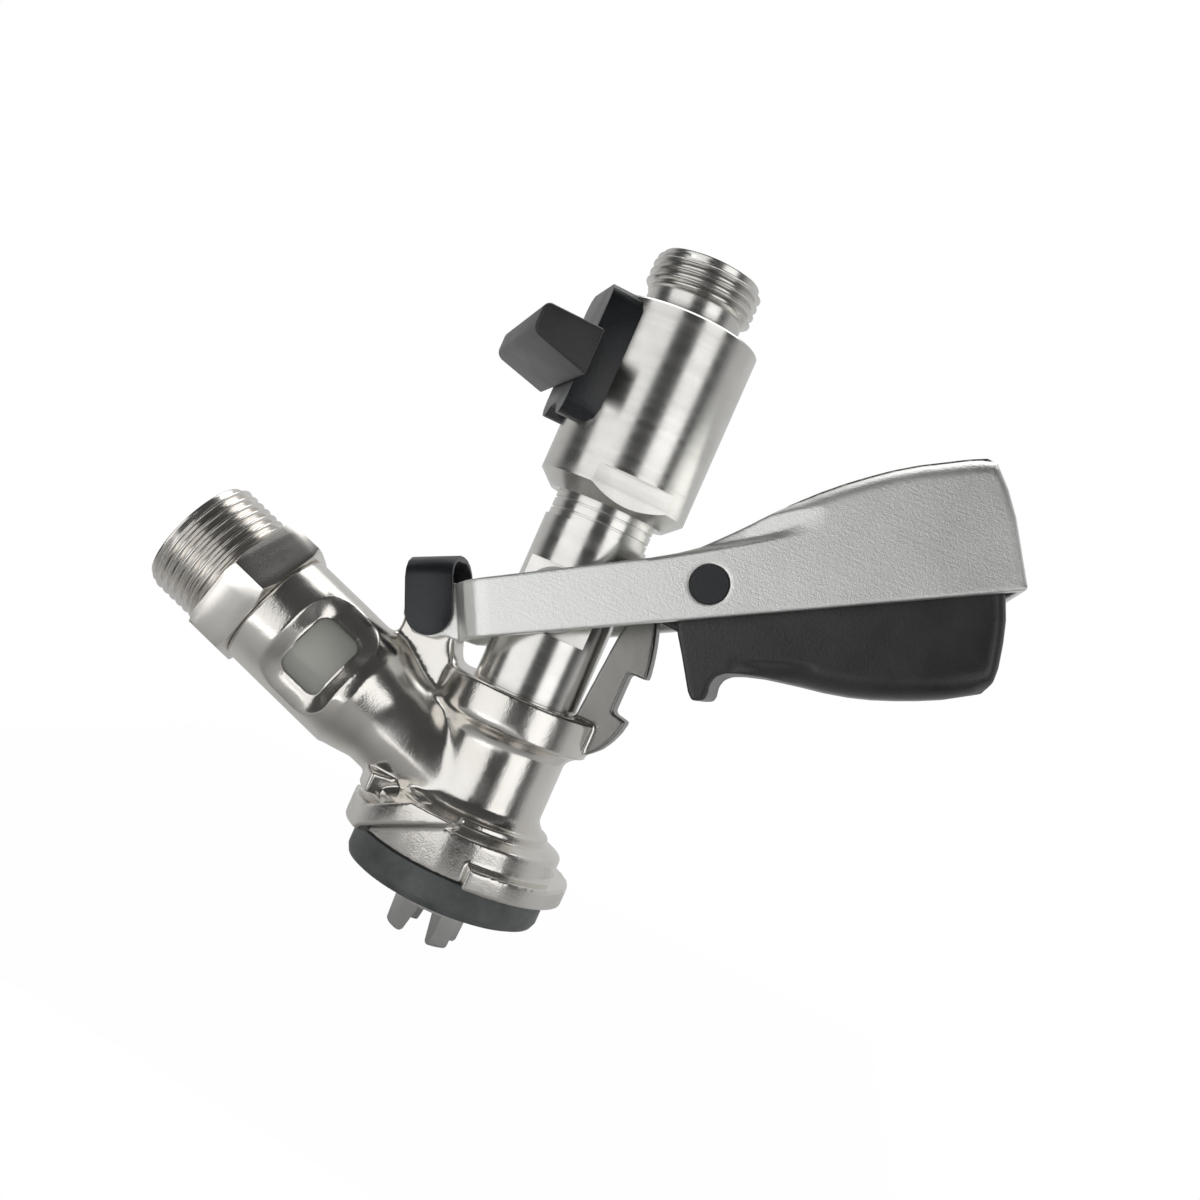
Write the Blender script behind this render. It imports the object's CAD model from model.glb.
import math

import bpy
from mathutils import Matrix, Vector


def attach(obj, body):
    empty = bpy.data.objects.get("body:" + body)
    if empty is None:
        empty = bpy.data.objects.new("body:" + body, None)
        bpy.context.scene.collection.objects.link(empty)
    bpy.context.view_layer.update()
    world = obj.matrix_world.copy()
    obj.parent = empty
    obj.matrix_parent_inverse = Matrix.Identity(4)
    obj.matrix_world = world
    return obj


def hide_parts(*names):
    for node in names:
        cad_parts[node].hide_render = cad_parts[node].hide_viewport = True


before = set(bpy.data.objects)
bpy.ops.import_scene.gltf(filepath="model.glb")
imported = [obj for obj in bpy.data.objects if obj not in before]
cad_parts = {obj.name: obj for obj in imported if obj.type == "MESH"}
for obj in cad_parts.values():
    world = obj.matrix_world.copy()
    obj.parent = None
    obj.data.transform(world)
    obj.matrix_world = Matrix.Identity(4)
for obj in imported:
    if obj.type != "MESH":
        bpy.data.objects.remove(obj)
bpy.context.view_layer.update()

MM = 0.001
SEAM = 0.00001
SOLID_SEAM = 0.000002

# Sizes shared with the solids, in millimetres and degrees
ARM_HEIGHT = 18.5
ARM_TURN = 10.0
ARM_RISE = 19.7
PIVOT = Vector((-23.5, 0, 50.1))
LEVER_RISE = 28.4
COLLAR_RADIUS = 16.3
COLLAR_TOP = 42.6
PITCH = 1.814


def turn(axis, degrees):
    """A turn about one axis, as a matrix."""
    return Matrix.Rotation(math.radians(degrees), 4, axis)


arm_frame = Matrix.Translation((0, 0, ARM_HEIGHT * MM)) @ turn("Z", ARM_TURN) @ turn("Y", ARM_RISE - 90)
lever_frame = Matrix.Translation(PIVOT * MM) @ turn("Y", -LEVER_RISE)


# Camera at the photograph's place, rolled about its line of sight
CAMERA_TURN = math.radians(13.0)
CAMERA_ROLL = math.radians(23.88)
CAMERA_PLACE = Vector((0.0558, -0.2416, 0.0627))
CAMERA_LENS = 36.83
CAMERA_SHIFT = (0.0286, 0.002)
camera_data = bpy.data.cameras.new("camera")
camera = bpy.data.objects.new("camera", camera_data)
bpy.context.scene.collection.objects.link(camera)
across = Vector((math.cos(CAMERA_TURN), math.sin(CAMERA_TURN), 0))
sight = Vector((-math.sin(CAMERA_TURN), math.cos(CAMERA_TURN), 0))
upward = Vector((0, 0, 1))
right = math.cos(CAMERA_ROLL) * across + math.sin(CAMERA_ROLL) * upward
top = -math.sin(CAMERA_ROLL) * across + math.cos(CAMERA_ROLL) * upward
camera.matrix_world = Matrix((
    (right.x, top.x, -sight.x, CAMERA_PLACE.x),
    (right.y, top.y, -sight.y, CAMERA_PLACE.y),
    (right.z, top.z, -sight.z, CAMERA_PLACE.z),
    (0, 0, 0, 1)))
camera_data.sensor_width = 36
camera_data.lens = CAMERA_LENS
camera_data.shift_x, camera_data.shift_y = CAMERA_SHIFT
camera_data.clip_start = 0.005
camera_data.clip_end = 20
bpy.context.scene.camera = camera
bpy.context.scene.view_settings.view_transform = "Standard"


def only(piece):
    """Select one piece and nothing else."""
    if bpy.context.object and bpy.context.object.mode != "OBJECT":
        bpy.ops.object.mode_set(mode="OBJECT")
    bpy.ops.object.select_all(action="DESELECT")
    piece.select_set(True)
    bpy.context.view_layer.objects.active = piece


def apply_all(piece):
    """Apply every modifier of a piece."""
    only(piece)
    for modifier in list(piece.modifiers):
        bpy.ops.object.modifier_apply(modifier=modifier.name)


def smooth(piece, degrees=35):
    """Shade smooth, with edges sharper than the given angle kept crisp."""
    only(piece)
    bpy.ops.object.shade_smooth_by_angle(angle=math.radians(degrees))


def placed(piece, matrix):
    """Put a piece's place into its mesh."""
    piece.data.transform(matrix)
    piece.data.update()
    return piece


def outward(piece):
    """Close seams and turn the faces outward."""
    only(piece)
    bpy.ops.object.mode_set(mode="EDIT")
    bpy.ops.mesh.select_all(action="SELECT")
    bpy.ops.mesh.remove_doubles(threshold=SEAM)
    bpy.ops.mesh.normals_make_consistent(inside=False)
    bpy.ops.object.mode_set(mode="OBJECT")


def bevelled(piece, width, segments=3, degrees=30):
    """Round a piece's sharp edges."""
    rounding = piece.modifiers.new("rounding", "BEVEL")
    rounding.width = width * MM
    rounding.segments = segments
    rounding.limit_method = "ANGLE"
    rounding.angle_limit = math.radians(degrees)
    rounding.use_clamp_overlap = True
    apply_all(piece)


def edged(piece, width, weigh, segments=4):
    """Round edges by a width times the weight a rule gives their middle."""
    weights = piece.data.attributes.new("bevel_weight_edge", "FLOAT", "EDGE")
    corners = piece.data.vertices
    for edge in piece.data.edges:
        first, second = (corners[index].co for index in edge.vertices)
        weights.data[edge.index].value = weigh(first, second)
    rounding = piece.modifiers.new("rounding", "BEVEL")
    rounding.width = width * MM
    rounding.segments = segments
    rounding.limit_method = "WEIGHT"
    rounding.use_clamp_overlap = True
    apply_all(piece)


def skinned(piece, voxel):
    """Turn a piece into one even skin of small faces."""
    skin = piece.modifiers.new("skin", "REMESH")
    skin.mode = "VOXEL"
    skin.voxel_size = voxel * MM
    apply_all(piece)


def only_none():
    """Deselect everything."""
    if bpy.context.object and bpy.context.object.mode != "OBJECT":
        bpy.ops.object.mode_set(mode="OBJECT")
    bpy.ops.object.select_all(action="DESELECT")


def prism(name, profile, half, matrix):
    """A closed bar of the given (height, depth) profile across a local X axis."""
    only_none()
    bpy.ops.mesh.primitive_plane_add(size=1, location=(0, 0, 0))
    piece = bpy.context.object
    piece.name = name
    count = len(profile)
    points = [(side * half * MM, depth * MM, height * MM) for side in (-1, 1) for height, depth in profile]
    faces = [list(range(count)), list(range(count, 2 * count))]
    for index in range(count):
        following = (index + 1) % count
        faces.append((index, following, count + following, count + index))
    piece.data.clear_geometry()
    piece.data.from_pydata(points, [], faces)
    placed(piece, matrix)
    outward(piece)
    return piece


def carved(piece, tool, operation="DIFFERENCE"):
    """Cut a tool out of a piece, and drop the tool."""
    cutting = piece.modifiers.new("cutting", "BOOLEAN")
    cutting.operation = operation
    cutting.solver = "EXACT"
    cutting.object = tool
    apply_all(piece)
    bpy.data.objects.remove(tool)


def thinned(piece, ratio):
    """Take faces out where the form is plain."""
    thin = piece.modifiers.new("thin", "DECIMATE")
    thin.ratio = ratio
    apply_all(piece)
    piece.vertex_groups.clear()


def near(value, low, high, fade):
    """One inside a span, falling to nothing over a fade outside it."""
    return max(0.0, min(1.0, 1 - (low - value) / fade, 1 - (value - high) / fade))


def reach_to(path, along, up):
    """Distance from a point to a path of straight steps."""
    best = 100.0
    for (x0, y0), (x1, y1) in zip(path, path[1:]):
        run, rise = x1 - x0, y1 - y0
        share = max(0.0, min(1.0, ((along - x0) * run + (up - y0) * rise) / (run * run + rise * rise)))
        best = min(best, math.hypot(along - x0 - share * run, up - y0 - share * rise))
    return best


def rolled(distance, radius):
    """How far a side has turned in, this far from its outer edge."""
    if distance >= radius:
        return 0.0
    return radius - math.sqrt(radius * radius - (radius - distance) ** 2)


def moved_by(piece, local_frame, rule):
    """Move vertices by a rule that works on their place in a local frame, in millimetres."""
    to_local = local_frame.inverted()
    for vertex in piece.data.vertices:
        local = to_local @ vertex.co / MM
        if rule(local):
            vertex.co = local_frame @ (local * MM)
    piece.data.update()


def softened(piece, name, iterations, weigh=None):
    """Smooth a piece, or only where the given rule weighs it."""
    modifier = piece.modifiers.new(name, "SMOOTH")
    modifier.factor = 0.5
    modifier.iterations = iterations
    if weigh:
        group = piece.vertex_groups.new(name=name)
        for vertex in piece.data.vertices:
            weight = weigh(vertex.co)
            if weight > 0.01:
                group.add([vertex.index], weight, "REPLACE")
        modifier.vertex_group = name
    apply_all(piece)


def lathe(name, rings, sides=128):
    """Raise a ring through (radius, height) steps and close it on its start."""
    only_none()
    radius, height = rings[0]
    bpy.ops.mesh.primitive_circle_add(vertices=sides, radius=radius * MM, location=(0, 0, 0))
    piece = bpy.context.object
    piece.name = name
    bpy.ops.object.mode_set(mode="EDIT")
    bpy.ops.mesh.select_all(action="SELECT")
    bpy.ops.transform.translate(value=(0, 0, height * MM))
    for next_radius, next_height in rings[1:] + rings[:1]:
        bpy.ops.mesh.extrude_region_move(
            TRANSFORM_OT_translate={"value": (0, 0, (next_height - height) * MM)})
        ratio = next_radius / radius
        if abs(ratio - 1) > 1e-9:
            bpy.ops.transform.resize(value=(ratio, ratio, 1), center_override=(0, 0, next_height * MM))
        radius, height = next_radius, next_height
    bpy.ops.object.mode_set(mode="OBJECT")
    outward(piece)
    return piece


def thread(name, root, crest, low, high, lead_in):
    """A helical ridge from root to crest radius, tapered at both ends."""
    only_none()
    bpy.ops.mesh.primitive_plane_add(size=1, location=(0, 0, 0))
    piece = bpy.context.object
    piece.name = name
    mesh = piece.data
    sunk = root - 0.25
    foot = root - 0.2
    steps = [(sunk, 0.0), (root, 0.06), (crest - 0.06, 0.40), (crest, 0.45),
             (crest, 0.55), (crest - 0.06, 0.60), (root, 0.94), (sunk, 1.0)]
    mesh.clear_geometry()
    start = low - PITCH
    points = [(r * MM, 0, (start + part * PITCH) * MM) for r, part in steps]
    edges = [(index, index + 1) for index in range(len(points) - 1)]
    mesh.from_pydata(points, edges, [])
    winding = piece.modifiers.new("winding", "SCREW")
    winding.axis = "Z"
    winding.angle = math.tau
    winding.screw_offset = PITCH * MM
    winding.iterations = int((high - low) / PITCH) + 2
    winding.steps = 96
    winding.render_steps = 96
    winding.use_merge_vertices = True
    apply_all(piece)
    for vertex in mesh.vertices:
        place = vertex.co
        radius = math.hypot(place.x, place.y) / MM
        height = place.z / MM
        height_kept = min(max(height, low), high)
        run_in = foot + (height_kept - low) * 1.5
        run_out = foot + (high - height_kept) * (crest - foot) / lead_in
        factor = min(1.0, min(crest, run_in, run_out) / radius)
        vertex.co = Vector((place.x * factor, place.y * factor, height_kept * MM))
    mesh.update()
    outward(piece)
    return piece


def joined(name, pieces):
    """Join pieces into one object."""
    only_none()
    for piece in pieces:
        piece.select_set(True)
    bpy.context.view_layer.objects.active = pieces[0]
    bpy.ops.object.join()
    pieces[0].name = name
    return pieces[0]


def from_solid(node, name, dissolve=1.0):
    """Copy a solid's mesh, merge its seams and clear flat facets."""
    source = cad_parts[node]
    piece = source.copy()
    piece.data = source.data.copy()
    piece.parent = None
    piece.name = name
    for key in list(piece.keys()):
        del piece[key]
    bpy.context.scene.collection.objects.link(piece)
    piece.data.materials.clear()
    only(piece)
    if piece.data.has_custom_normals:
        bpy.ops.mesh.customdata_custom_splitnormals_clear()
    bpy.ops.object.mode_set(mode="EDIT")
    bpy.ops.mesh.select_all(action="SELECT")
    bpy.ops.mesh.remove_doubles(threshold=SOLID_SEAM)
    bpy.ops.mesh.normals_make_consistent(inside=False)
    if dissolve:
        bpy.ops.mesh.dissolve_limited(angle_limit=math.radians(dissolve))
    bpy.ops.object.mode_set(mode="OBJECT")
    return piece


def finished(piece, body, slot, material, *nodes):
    """Give a piece its finish, its body and the solids it stands for."""
    piece.data.materials.clear()
    piece.data.materials.append(material)
    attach(piece, body)
    if nodes:
        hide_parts(*nodes)
    return piece


# Materials
def base_material(name, colour, metallic, roughness):
    """A material with its shader and object coordinates ready."""
    material = bpy.data.materials.new(name)
    material.use_nodes = True
    tree = material.node_tree
    shader = tree.nodes["Principled BSDF"]
    shader.inputs["Base Color"].default_value = colour
    shader.inputs["Metallic"].default_value = metallic
    shader.inputs["Roughness"].default_value = roughness
    place = tree.nodes.new("ShaderNodeTexCoord")
    return material, tree, shader, place.outputs["Object"]


def mapped(tree, coordinates, scale=(1, 1, 1), turned_by=(0, 0, 0)):
    """Stretch or turn a pattern."""
    mapping = tree.nodes.new("ShaderNodeMapping")
    mapping.vector_type = "POINT"
    mapping.inputs["Scale"].default_value = scale
    mapping.inputs["Rotation"].default_value = turned_by
    tree.links.new(coordinates, mapping.inputs["Vector"])
    return mapping.outputs["Vector"]


def noise(tree, coordinates, scale, detail=3.0, roughness=0.5):
    """A noise pattern's grey value."""
    pattern = tree.nodes.new("ShaderNodeTexNoise")
    pattern.inputs["Scale"].default_value = scale
    pattern.inputs["Detail"].default_value = detail
    pattern.inputs["Roughness"].default_value = roughness
    tree.links.new(coordinates, pattern.inputs["Vector"])
    return pattern.outputs["Fac"]


def ramp(tree, value, stops):
    """Turn a grey value into a colour or another value."""
    item = tree.nodes.new("ShaderNodeValToRGB")
    item.color_ramp.elements[0].position = stops[0][0]
    item.color_ramp.elements[0].color = stops[0][1]
    item.color_ramp.elements[1].position = stops[-1][0]
    item.color_ramp.elements[1].color = stops[-1][1]
    for position, colour in stops[1:-1]:
        item.color_ramp.elements.new(position).color = colour
    tree.links.new(value, item.inputs["Fac"])
    return item.outputs["Color"]


def spread(tree, value, low, high):
    """Map a grey value to a range."""
    item = tree.nodes.new("ShaderNodeMapRange")
    item.inputs["From Min"].default_value = 0.25
    item.inputs["From Max"].default_value = 0.75
    item.inputs["To Min"].default_value = low
    item.inputs["To Max"].default_value = high
    tree.links.new(value, item.inputs["Value"])
    return item.outputs["Result"]


def bumped(tree, shader, heights):
    """Add bumps, each a (height, strength, distance) triple."""
    normal = None
    for value, strength, distance in heights:
        bump = tree.nodes.new("ShaderNodeBump")
        bump.inputs["Strength"].default_value = strength
        bump.inputs["Distance"].default_value = distance
        tree.links.new(value, bump.inputs["Height"])
        if normal:
            tree.links.new(normal, bump.inputs["Normal"])
        normal = bump.outputs["Normal"]
    tree.links.new(normal, shader.inputs["Normal"])


def grey(value):
    """A neutral colour."""
    return (value, value, value, 1)


def between(tree, coordinates, axis, low, high):
    """A mask that rises from 0 to 1 between two places on an axis, in millimetres."""
    parts = tree.nodes.new("ShaderNodeSeparateXYZ")
    tree.links.new(coordinates, parts.inputs[0])
    item = tree.nodes.new("ShaderNodeMapRange")
    item.inputs["From Min"].default_value = low * MM
    item.inputs["From Max"].default_value = high * MM
    tree.links.new(parts.outputs[axis], item.inputs["Value"])
    return item.outputs["Result"]


def combined(tree, operation, first, second):
    """Two values put together by a sum, a product or the like."""
    item = tree.nodes.new("ShaderNodeMath")
    item.operation = operation
    tree.links.new(first, item.inputs[0])
    tree.links.new(second, item.inputs[1])
    return item.outputs[0]


def mixed(tree, share, first, second, kind="RGBA"):
    """Blend two colours or values; plain ones are given as numbers."""
    item = tree.nodes.new("ShaderNodeMix")
    item.data_type = kind
    spot = 2 if kind == "FLOAT" else 6
    tree.links.new(share, item.inputs[0])
    for index, value in ((spot, first), (spot + 1, second)):
        if isinstance(value, (tuple, float)):
            item.inputs[index].default_value = value
        else:
            tree.links.new(value, item.inputs[index])
    return item.outputs[2 if kind == "RGBA" else 0]


def latch_quadrant(tree, place):
    """A mask of the latch quadrant, which stands out past the collar and over it."""
    past_collar = between(tree, place, "X", COLLAR_RADIUS + 0.1, COLLAR_RADIUS + 0.6)
    past_base = between(tree, place, "Z", 24, 27)
    over_collar = between(tree, place, "Z", COLLAR_TOP + 0.2, COLLAR_TOP + 0.6)
    off_axis = between(tree, place, "X", 11, 12)
    beside = combined(tree, "MULTIPLY", past_collar, past_base)
    above = combined(tree, "MULTIPLY", off_axis, over_collar)
    return combined(tree, "MAXIMUM", beside, above)


def cast_nickel():
    """Satin nickel over a polished casting, with the latch quadrant left unpolished."""
    material, tree, shader, place = base_material("cast_nickel", (0.76, 0.73, 0.70, 1), 1.0, 0.2)
    ripple = noise(tree, place, 260, 3.0)
    grain = noise(tree, place, 2600, 2.0)
    scratch = noise(tree, mapped(tree, place, (3200, 260, 420), (0.4, 0.3, 0.7)), 1.0, 2.0)
    cloud = noise(tree, place, 90, 4.0)
    tint = ramp(tree, cloud, [(0.3, (0.73, 0.70, 0.655, 1)), (0.7, (0.82, 0.80, 0.765, 1))])
    raw = latch_quadrant(tree, place)
    tree.links.new(mixed(tree, raw, tint, (0.30, 0.295, 0.28, 1)), shader.inputs["Base Color"])
    polished = spread(tree, cloud, 0.14, 0.26)
    tree.links.new(mixed(tree, raw, polished, 0.36, "FLOAT"), shader.inputs["Roughness"])
    bumped(tree, shader, [(ripple, 0.2, 0.0003), (grain, 0.4, 0.00005), (scratch, 0.08, 0.00004)])
    return material


def turned_steel(name, colour, rough, axis_turn=(0, 0, 0), strength=0.3, metallic=1.0):
    """Lathe-turned steel: fine rings round the axis."""
    material, tree, shader, place = base_material(name, colour, metallic, rough)
    local = mapped(tree, place, (1, 1, 1), axis_turn)
    rings = noise(tree, mapped(tree, local, (6, 6, 5200)), 1.0, 2.0)
    wide = noise(tree, mapped(tree, local, (4, 4, 420)), 1.0, 3.0)
    cloud = noise(tree, place, 120, 3.0)
    dark = tuple(part * 0.90 for part in colour[:3]) + (1,)
    light = tuple(min(1.0, part * 1.05) for part in colour[:3]) + (1,)
    tree.links.new(ramp(tree, cloud, [(0.3, dark), (0.7, light)]), shader.inputs["Base Color"])
    tree.links.new(spread(tree, wide, rough * 0.7, rough * 1.4), shader.inputs["Roughness"])
    bumped(tree, shader, [(rings, strength, 0.00003), (wide, strength * 0.5, 0.00006)])
    return material


def blasted_steel():
    """A blasted lever casting: fine even grain with soft blotches."""
    material, tree, shader, place = base_material("blasted_steel", (0.87, 0.88, 0.855, 1), 1.0, 0.40)
    grain = noise(tree, place, 3600, 2.0, 0.6)
    pits = noise(tree, place, 1500, 3.0, 0.6)
    cloud = noise(tree, place, 70, 4.0)
    brushed = noise(tree, mapped(tree, place, (60, 500, 2200), (0, math.radians(LEVER_RISE), 0)), 1.0, 2.0)
    tint = ramp(tree, cloud, [(0.3, (0.86, 0.87, 0.845, 1)), (0.7, (0.95, 0.955, 0.93, 1))])
    tree.links.new(tint, shader.inputs["Base Color"])
    tree.links.new(spread(tree, cloud, 0.38, 0.46), shader.inputs["Roughness"])
    bumped(tree, shader, [(grain, 0.9, 0.00008), (pits, 0.7, 0.00007), (brushed, 0.5, 0.00006)])
    return material


def grained_plastic(name, colour, rough, grain_size=2200, strength=0.4, shine=0.5):
    """Moulded plastic with a fine spark-eroded grain."""
    material, tree, shader, place = base_material(name, colour, 0.0, rough)
    shader.inputs["Specular IOR Level"].default_value = shine
    shader.inputs["Sheen Weight"].default_value = 0.12
    shader.inputs["Sheen Roughness"].default_value = 0.4
    grain = noise(tree, place, grain_size, 4.0, 0.65)
    wear = noise(tree, place, 140, 4.0)
    light = tuple(min(1.0, part * 1.5 + 0.004) for part in colour[:3]) + (1,)
    tree.links.new(ramp(tree, wear, [(0.35, colour), (0.75, light)]), shader.inputs["Base Color"])
    tree.links.new(spread(tree, wear, rough * 0.85, rough * 1.2), shader.inputs["Roughness"])
    bumped(tree, shader, [(grain, strength, 0.00008)])
    return material


def dusty_rubber(name, colour, dust, rough):
    """Rubber with a bloom of dust and small scuffs."""
    material, tree, shader, place = base_material(name, colour, 0.0, rough)
    cloud = noise(tree, place, 160, 5.0, 0.6)
    specks = noise(tree, place, 1500, 3.0, 0.7)
    tree.links.new(mixed(tree, spread(tree, cloud, 0.0, 0.7), colour, dust), shader.inputs["Base Color"])
    bumped(tree, shader, [(cloud, 0.3, 0.0002), (specks, 0.35, 0.00006)])
    return material


def clear_plastic():
    """The clear sleeve behind the window, a little yellowed and scuffed."""
    material, tree, shader, place = base_material("clear_sleeve", (0.92, 0.93, 0.86, 1), 0.0, 0.08)
    shader.inputs["Alpha"].default_value = 0.35
    shader.inputs["IOR"].default_value = 1.5
    scuff = noise(tree, place, 500, 4.0)
    tree.links.new(spread(tree, scuff, 0.06, 0.22), shader.inputs["Roughness"])
    bumped(tree, shader, [(scuff, 0.15, 0.0001)])
    return material


def pale_silicone():
    """The lip valve's pale silicone."""
    material, tree, shader, place = base_material("pale_silicone", (0.75, 0.74, 0.66, 1), 0.0, 0.45)
    shader.inputs["Subsurface Weight"].default_value = 0.15
    shader.inputs["Subsurface Scale"].default_value = 0.002
    cloud = noise(tree, place, 300, 3.0)
    tint = ramp(tree, cloud, [(0.3, (0.80, 0.79, 0.70, 1)), (0.7, (0.92, 0.91, 0.85, 1))])
    tree.links.new(tint, shader.inputs["Base Color"])
    bumped(tree, shader, [(cloud, 0.2, 0.0002)])
    return material


ALONG_ARM = (0, math.radians(90 - ARM_RISE), 0)
nickel = cast_nickel()
valve_steel = turned_steel("valve_steel", (0.74, 0.73, 0.70, 1), 0.22, strength=0.35)
stem_steel = turned_steel("stem_steel", (0.78, 0.77, 0.74, 1), 0.20, strength=0.4)
inlet_steel = turned_steel("inlet_nickel", (0.79, 0.765, 0.73, 1), 0.20, ALONG_ARM, 0.2)
bright_steel = turned_steel("bright_steel", (0.80, 0.80, 0.79, 1), 0.15, strength=0.1)
probe_steel = turned_steel("probe_steel", (0.90, 0.90, 0.88, 1), 0.35, strength=0.2, metallic=0.5)
lever_steel = blasted_steel()
grip_plastic = grained_plastic("grip_plastic", (0.014, 0.015, 0.0145, 1), 0.36, 1700, 0.9, 0.7)
knob_plastic = grained_plastic("knob_plastic", (0.034, 0.034, 0.033, 1), 0.45, 1500, 0.9)
clip_plastic = grained_plastic("clip_plastic", (0.009, 0.011, 0.014, 1), 0.32, 1500, 0.5, 0.5)
shoe_plastic = grained_plastic("shoe_plastic", (0.72, 0.70, 0.64, 1), 0.5, 1500, 0.2)
gasket_rubber = dusty_rubber("gasket_rubber", (0.080, 0.090, 0.093, 1), (0.26, 0.275, 0.27, 1), 0.48)
seal_rubber = dusty_rubber("seal_rubber", (0.02, 0.02, 0.02, 1), (0.06, 0.06, 0.06, 1), 0.6)
sleeve_clear = clear_plastic()
lip_silicone = pale_silicone()

plain_nodes = {
    "stem": stem_steel, "valve_body": valve_steel, "probe_tip": probe_steel, "probe_seal": gasket_rubber,
    "valve_ball": bright_steel, "check_ball": bright_steel, "knob_spindle": bright_steel,
    "hinge_pin": bright_steel, "trigger_spring": bright_steel, "drive_shoe_front": shoe_plastic,
    "drive_shoe_rear": shoe_plastic, "valve_seat_lower": shoe_plastic, "valve_seat_upper": shoe_plastic,
    "base_gasket": gasket_rubber, "collar_oring": seal_rubber, "sleeve_seal_inner": seal_rubber,
    "sleeve_seal_outer": seal_rubber, "spindle_oring": seal_rubber, "gas_lip_valve": lip_silicone,
    "sight_sleeve": sleeve_clear, "trigger_pin": clip_plastic, "coupler_body": nickel,
    "outlet_fitting": valve_steel, "gas_inlet_fitting": inlet_steel, "lever": lever_steel,
    "trigger": grip_plastic, "hinge_clip": clip_plastic, "valve_knob": knob_plastic,
    "valve_saddle": clip_plastic,
}
for node, material in plain_nodes.items():
    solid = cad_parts[node]
    solid.data.materials.clear()
    solid.data.materials.append(material)

# Cast body: one skin over the solid, with soft blends where the arm and the ear leave it
ROUGH_SKIN = 0.36
BODY_SKIN = 0.30
WALL_INNER = 10.62
WALL_OUTER = 13.05
WALL_START = 31.5
WALL_END = 55.0
WINDOW_MIDDLE = (0.9, 42.2)
WINDOW_HALF = (8.1, 4.9)
WINDOW_CORNER = 2.4
TOOL_DEPTH = 11.5
TOOL_HALF = 7.0
RECESS_REACH = 3.0
RECESS_FLOOR = 10.9
RECESS_RISE = 2.3
arm_inverse = arm_frame.inverted()


def junction(place):
    """How much a point belongs to the arm's junction or the ear's root."""
    local = arm_inverse @ place / MM
    x, y, z = place / MM
    round_axis = math.hypot(x, y)
    round_arm = math.hypot(local.x, local.y)
    arm_part = near(local.z, 5, 28, 4) * near(round_arm, 8.5, 40, 1.5) * near(z, 20.5, 40, 2)
    ear_part = near(x, -33, -14, 3) * near(z, 30, 45.5, 2) * near(y, -8, 8, 3)
    return max(arm_part, ear_part) * near(round_axis, 12.9, 60, 0.9)


def window_outline():
    """The window's rounded rectangle, as (along the arm, across it) points."""
    outline = []
    for corner, (side, end) in enumerate([(1, 1), (-1, 1), (-1, -1), (1, -1)]):
        aside = -WINDOW_MIDDLE[0] - side * (WINDOW_HALF[0] - WINDOW_CORNER)
        along = WINDOW_MIDDLE[1] + end * (WINDOW_HALF[1] - WINDOW_CORNER)
        for step in range(0, 91, 15):
            way = math.radians(corner * 90 + step)
            outline.append((along + WINDOW_CORNER * math.sin(way), aside - WINDOW_CORNER * math.cos(way)))
    return outline


def beyond_window(aside, along):
    """Signed distance from the window's rounded rectangle."""
    side = abs(aside - WINDOW_MIDDLE[0]) - WINDOW_HALF[0] + WINDOW_CORNER
    end = abs(along - WINDOW_MIDDLE[1]) - WINDOW_HALF[1] + WINDOW_CORNER
    return math.hypot(max(side, 0), max(end, 0)) + min(max(side, end), 0) - WINDOW_CORNER


def recessed(local):
    """Sink the chamber's wall softly towards the window."""
    if local.y >= 0 or not WALL_START - 0.5 < local.z < WALL_END or abs(local.x) >= 13:
        return False
    away = beyond_window(local.x, local.z)
    reach = math.hypot(local.x, local.y)
    limit = RECESS_FLOOR + RECESS_RISE * near(away, RECESS_REACH + 0.3, 100, RECESS_REACH)
    if away >= RECESS_REACH + 0.4 or not limit < reach < 14:
        return False
    local.x *= limit / reach
    local.y *= limit / reach
    return True


through_window = arm_frame @ Matrix.Translation((0, -TOOL_DEPTH * MM, 0)) @ turn("Z", 90)
body = from_solid("coupler_body", "cast_body", 0)
wall = lathe("window_wall", [
    (WALL_INNER, WALL_START), (WALL_OUTER, WALL_START), (WALL_OUTER, WALL_END), (WALL_INNER, WALL_END)])
placed(wall, arm_frame)
body = joined("cast_body", [body, wall])
skinned(body, ROUGH_SKIN)
carved(body, prism("window_tool", window_outline(), TOOL_HALF, through_window))
skinned(body, BODY_SKIN)
moved_by(body, arm_frame, recessed)
softened(body, "junction", 140, junction)
softened(body, "edges", 4)
thinned(body, 0.34)
smooth(body, 60)
finished(body, "body", "nickel", nickel, "coupler_body")

# Outlet fitting with its thread
OUTLET_CREST = 11.455
OUTLET_ROOT = 10.3
outlet = lathe("outlet_turned", [
    (6.0, 119.3), (10.2, 119.3), (10.2, 122.9), (10.1, 122.9), (10.1, 127.2), (OUTLET_ROOT, 127.2),
    (OUTLET_ROOT, 134.6), (10.4, 134.8), (10.4, 135.3), (10.2, 135.5), (6.3, 135.5), (6.0, 135.2)])
bevelled(outlet, 0.12, 2)
outlet_ridge = thread("outlet_ridge", OUTLET_ROOT, OUTLET_CREST, 127.2, 134.9, 0.7)
outlet = joined("outlet_threaded", [outlet, outlet_ridge])
smooth(outlet, 40)
finished(outlet, "stem", "steel", valve_steel, "outlet_fitting")

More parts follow.
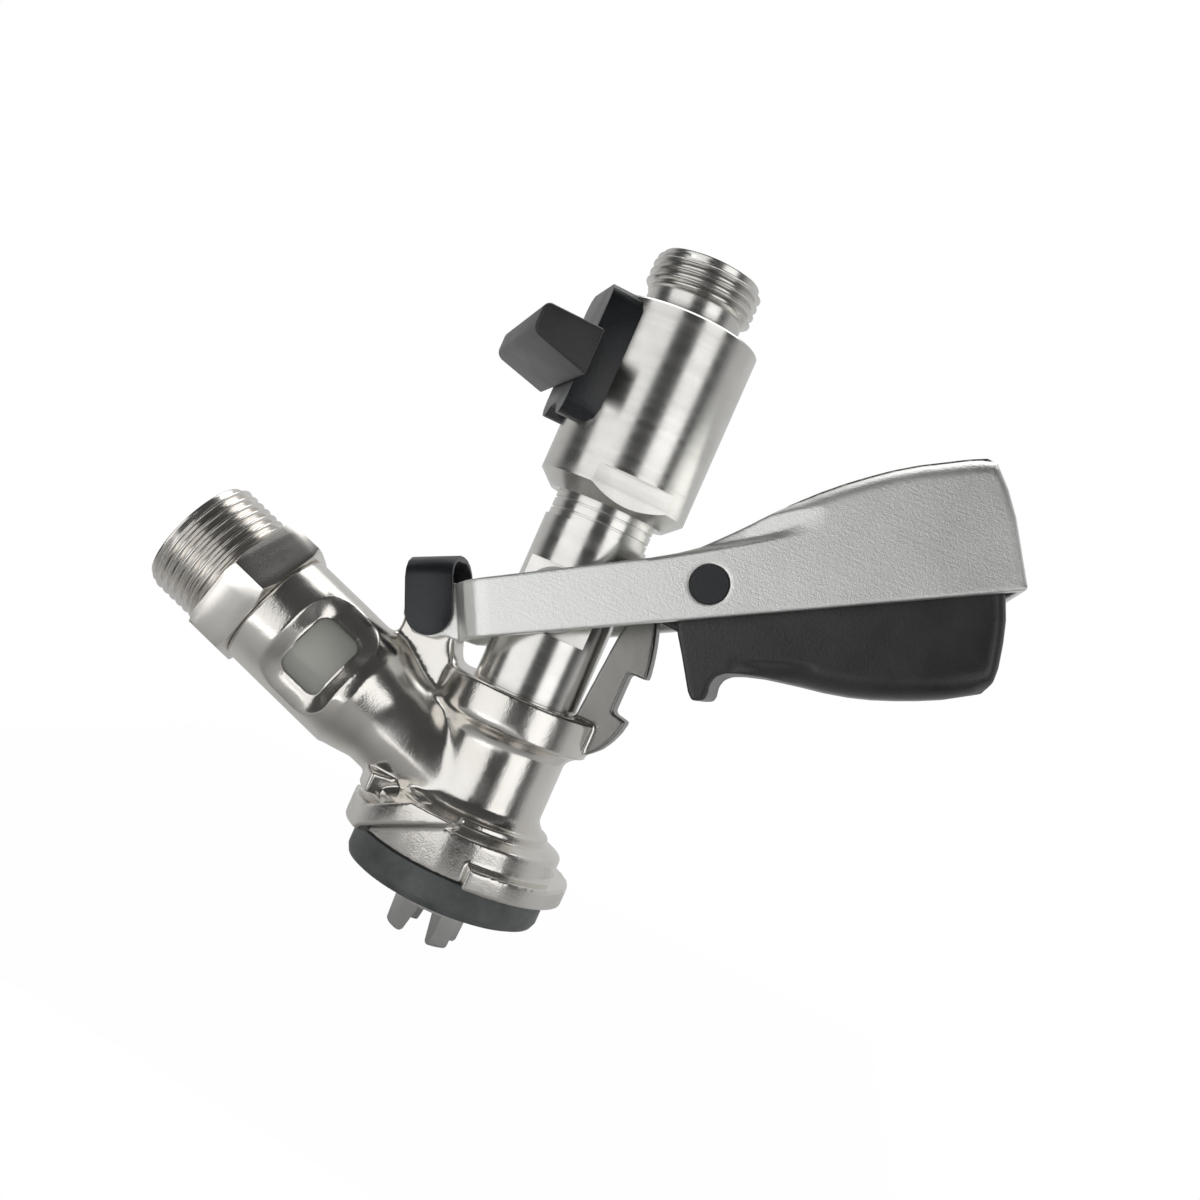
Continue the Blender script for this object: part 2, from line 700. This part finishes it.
# Gas inlet: hexagon, thread and bore
INLET_CREST = 13.22
INLET_ROOT = 12.05
HEX_FLATS = 28.0
HEX_LENGTH = 8.7
HEX_MIDDLE = 61.65
HEX_TURN = 13.5
only_none()
bpy.ops.mesh.primitive_cylinder_add(
    vertices=6, radius=HEX_FLATS / math.sqrt(3) * MM, depth=HEX_LENGTH * MM,
    location=(0, 0, HEX_MIDDLE * MM), rotation=(0, 0, math.radians(HEX_TURN)))
hexagon = bpy.context.object
bpy.ops.object.transform_apply(location=True, rotation=True, scale=True)
cone = lathe("hexagon_cone", [
    (2.0, 57.3), (15.0, 57.3), (16.5, 58.2), (16.5, 65.1), (15.0, 66.0), (2.0, 66.0)])
carved(hexagon, cone, "INTERSECT")
bevelled(hexagon, 0.18, 2)
inlet = lathe("inlet_turned", [
    (8.6, 56.9), (10.6, 56.9), (10.6, 66.0), (INLET_ROOT, 66.0), (INLET_ROOT, 78.5), (12.3, 79.1),
    (12.2, 79.5), (8.9, 79.5), (8.6, 79.2)])
bevelled(inlet, 0.1, 2)
inlet_ridge = thread("inlet_ridge", INLET_ROOT, INLET_CREST, 66.0, 79.2, 0.9)
inlet = joined("inlet_threaded", [inlet, inlet_ridge, hexagon])
placed(inlet, arm_frame)
smooth(inlet, 40)
finished(inlet, "body", "steel", inlet_steel, "gas_inlet_fitting")

# Lever: rounded rims, and a fold where the arm's top edge runs into the grip
TOPSIDE = [
    (63.8, 9.4), (68.7, 11.3), (73.5, 13.1), (78.3, 14.6), (83.0, 15.8), (87.6, 16.7), (92.0, 17.4),
    (96.7, 17.8), (105.5, 17.9), (108.6, 17.7)]
ENDSIDE = [(108.6, 17.7), (110.0, 16.6), (111.4, 11.5), (112.2, 6.3), (112.8, -5.6)]
LEVER_SKIN = 0.34
LEVER_HALF = 14.5
TOP_ROLL = 3.6
END_ROLL = 1.4
PIN_PLACE = (57.0, -0.7)
lever_inverse = lever_frame.inverted()


def lever_rim(first, second):
    """Wide rounding on the grip's outer rims, narrow on the arms'."""
    ends = [lever_inverse @ first / MM, lever_inverse @ second / MM]
    along = (ends[0].x + ends[1].x) / 2
    up = (ends[0].z + ends[1].z) / 2
    side = min(abs(end.y) for end in ends)
    if math.hypot(along - PIN_PLACE[0], up - PIN_PLACE[1]) < 4.6 or math.hypot(along, up) < 3.2:
        return 0.0
    if side < 14.0:
        return 0.12 if along < 14 or up < -6.5 else 0.0
    if along > 108.2:
        return 0.55
    if up < -6.5:
        return 0.25
    return 0.3 + 0.7 * near(along, 64, 120, 14)


def folded(local):
    """Step the grip's sides in above the fold, and roll its top and end rims over."""
    if abs(local.y) <= 12.6 or local.x <= 46:
        return False
    above = max(0.0, local.z - 5.2 - 0.07 * (local.x - 52)) * near(local.x, 50, 66, 16)
    inward = 1.5 * min(1.0, above / 1.1) + 0.05 * above
    local.y -= math.copysign(min(inward, 1.9) * near(local.x, 52, 64, 15), local.y)
    limit = LEVER_HALF
    limit -= rolled(reach_to(TOPSIDE, local.x, local.z), TOP_ROLL) * near(local.x, 76, 120, 14)
    limit -= rolled(reach_to(ENDSIDE, local.x, local.z), END_ROLL)
    local.y = max(-limit, min(limit, local.y))
    return True


lever = from_solid("lever", "lever_casting")
edged(lever, 2.3, lever_rim)
skinned(lever, LEVER_SKIN)
softened(lever, "edges", 5)
moved_by(lever, lever_frame, folded)
softened(lever, "fold", 2)
thinned(lever, 0.35)
smooth(lever, 50)
finished(lever, "lever", "lever_cast", lever_steel, "lever")

# Trigger: its underside rounds over towards the grip's end, with a fold near the hook
UNDERSIDE = [
    (58.2, -17.3), (60.5, -17.5), (64.7, -18.4), (71.8, -20.6), (76.0, -22.0), (80.5, -23.2),
    (84.8, -24.0), (89.3, -24.5), (93.5, -24.8), (98.0, -24.9), (104.0, -24.4)]
BACKSIDE = [
    (104.0, -24.4), (106.0, -22.6), (107.2, -20.0), (108.5, -15.6), (109.4, -11.5), (109.8, -7.0),
    (109.4, -4.0)]
TRIGGER_ROUGH_SKIN = 0.36
TRIGGER_SKIN = 0.34
TRIGGER_HALF = 11.2
UNDER_ROLL = 4.6
BACK_ROLL = 2.4


def trigger_rim(first, second):
    """Full rounding on the edges along the trigger, half on those across it."""
    return 1.0 if abs((first - second).y) < 0.001 else 0.5


def rounded_under(local):
    """Roll the trigger's underside and back over, and lift its sides near the hook."""
    if abs(local.y) <= 6.5 or local.x <= 56:
        return False
    below = reach_to(UNDERSIDE, local.x, local.z)
    behind = reach_to(BACKSIDE, local.x, local.z)
    limit = TRIGGER_HALF
    limit -= rolled(below, UNDER_ROLL) * near(local.x, 71, 120, 12)
    limit -= rolled(behind, BACK_ROLL) + 0.0035 * max(0.0, local.x - 92) ** 2
    lifted = max(0.0, -15.3 - 0.13 * (local.x - 64) - local.z)
    limit -= min(1.2, lifted * 0.9) * near(local.x, 65, 69, 6)
    if abs(local.y) <= limit:
        return False
    local.y = math.copysign(limit, local.y)
    return True


trigger = from_solid("trigger", "trigger_moulding")
edged(trigger, 0.7, trigger_rim, 3)
skinned(trigger, TRIGGER_ROUGH_SKIN)
moved_by(trigger, lever_frame, rounded_under)
skinned(trigger, TRIGGER_SKIN)
softened(trigger, "edges", 4)
thinned(trigger, 0.35)
smooth(trigger, 50)
finished(trigger, "trigger", "grip", grip_plastic, "trigger")

# Clip, wing and saddle with rounded edges. The last four numbers are the rounding's width and its
# segments, the bend from which an edge is rounded, and the bend from which the shading stays crisp
mouldings = [
    ("hinge_clip", "clip_moulding", "lever", "clip", clip_plastic, 0.25, 2, 40, 35),
    ("valve_knob", "knob_moulding", "knob", "grip", knob_plastic, 1.0, 4, 32, 35),
    ("valve_saddle", "saddle_moulding", "stem", "grip", clip_plastic, 1.6, 5, 40, 40),
]
for node, name, carrier, slot, plastic, width, segments, rounded_from, crisp_from in mouldings:
    moulding = from_solid(node, name)
    bevelled(moulding, width, segments, rounded_from)
    smooth(moulding, crisp_from)
    finished(moulding, carrier, slot, plastic, node)

# Stage: pale floor, plain room and soft lamps
FLOOR_SIZE = 0.20
FLOOR_HEIGHT = -0.0100
FLOOR_GLOW = 0.985
MIDDLE = Vector((0.0, 0.0, 0.06))
VIEW = -77.0
LAMP_DISTANCE = 0.75


def pale_floor():
    """A pale matt floor that the camera itself sees as nearly white."""
    only_none()
    bpy.ops.mesh.primitive_plane_add(size=FLOOR_SIZE, location=(0, 0, FLOOR_HEIGHT))
    floor = bpy.context.object
    floor.name = "floor"
    paper = bpy.data.materials.new("paper")
    paper.use_nodes = True
    tree = paper.node_tree
    tree.nodes.clear()
    output = tree.nodes.new("ShaderNodeOutputMaterial")
    matt = tree.nodes.new("ShaderNodeBsdfDiffuse")
    matt.inputs["Color"].default_value = grey(0.84)
    glow = tree.nodes.new("ShaderNodeEmission")
    glow.inputs["Color"].default_value = grey(1)
    rays = tree.nodes.new("ShaderNodeLightPath")
    share = tree.nodes.new("ShaderNodeMath")
    share.operation = "MULTIPLY"
    share.inputs[1].default_value = FLOOR_GLOW
    blend = tree.nodes.new("ShaderNodeMixShader")
    tree.links.new(rays.outputs["Is Camera Ray"], share.inputs[0])
    tree.links.new(share.outputs[0], blend.inputs[0])
    tree.links.new(matt.outputs[0], blend.inputs[1])
    tree.links.new(glow.outputs[0], blend.inputs[2])
    tree.links.new(blend.outputs[0], output.inputs["Surface"])
    floor.data.materials.append(paper)


def studio_room():
    """White to the camera; reflections see it dark on the camera's side and light behind."""
    world = bpy.data.worlds.new("studio")
    bpy.context.scene.world = world
    world.use_nodes = True
    tree = world.node_tree
    tree.nodes.clear()
    output = tree.nodes.new("ShaderNodeOutputWorld")
    seen = tree.nodes.new("ShaderNodeBackground")
    seen.inputs["Color"].default_value = grey(1)
    lit = tree.nodes.new("ShaderNodeBackground")
    place = tree.nodes.new("ShaderNodeTexCoord")
    parts = tree.nodes.new("ShaderNodeSeparateXYZ")
    tree.links.new(place.outputs["Generated"], parts.inputs[0])
    room = tree.nodes.new("ShaderNodeMapRange")
    room.inputs["From Min"].default_value = -1.0
    room.inputs["From Max"].default_value = 1.0
    tree.links.new(parts.outputs["Y"], room.inputs["Value"])
    walls = ramp(tree, room.outputs["Result"], [
        (0.0, grey(0.05)), (0.44, grey(0.07)), (0.60, grey(0.50)), (1.0, grey(0.62))])
    tree.links.new(walls, lit.inputs["Color"])
    rays = tree.nodes.new("ShaderNodeLightPath")
    blend = tree.nodes.new("ShaderNodeMixShader")
    tree.links.new(rays.outputs["Is Camera Ray"], blend.inputs[0])
    tree.links.new(lit.outputs[0], blend.inputs[1])
    tree.links.new(seen.outputs[0], blend.inputs[2])
    tree.links.new(blend.outputs[0], output.inputs["Surface"])


def lamp(name, place, aim, width, height, power):
    """A soft rectangular lamp aimed at a point."""
    data = bpy.data.lights.new(name, "AREA")
    data.shape = "RECTANGLE"
    data.size = width
    data.size_y = height
    data.energy = power
    item = bpy.data.objects.new(name, data)
    bpy.context.scene.collection.objects.link(item)
    item.location = place
    item.rotation_euler = (Vector(aim) - Vector(place)).to_track_quat("-Z", "Y").to_euler()


def softbox(name, turned_by, height, width, tall, glow):
    """A tall lamp at an angle from the camera's side, at a given radiance."""
    way = math.radians(VIEW + turned_by)
    place = MIDDLE + Vector((math.cos(way) * LAMP_DISTANCE, math.sin(way) * LAMP_DISTANCE, height))
    lamp(name, place, MIDDLE, width, tall, glow * math.pi * width * tall)


pale_floor()
studio_room()
softbox("left_softbox", -41, -0.02, 0.76, 0.74, 1.05)
softbox("right_softbox", 38, -0.02, 0.46, 0.74, 1.25)
softbox("low_softbox", -25, -0.42, 0.90, 0.30, 0.9)
lamp("top_softbox", (-0.05, 0.24, 0.78), MIDDLE, 0.7, 0.5, 1.8)
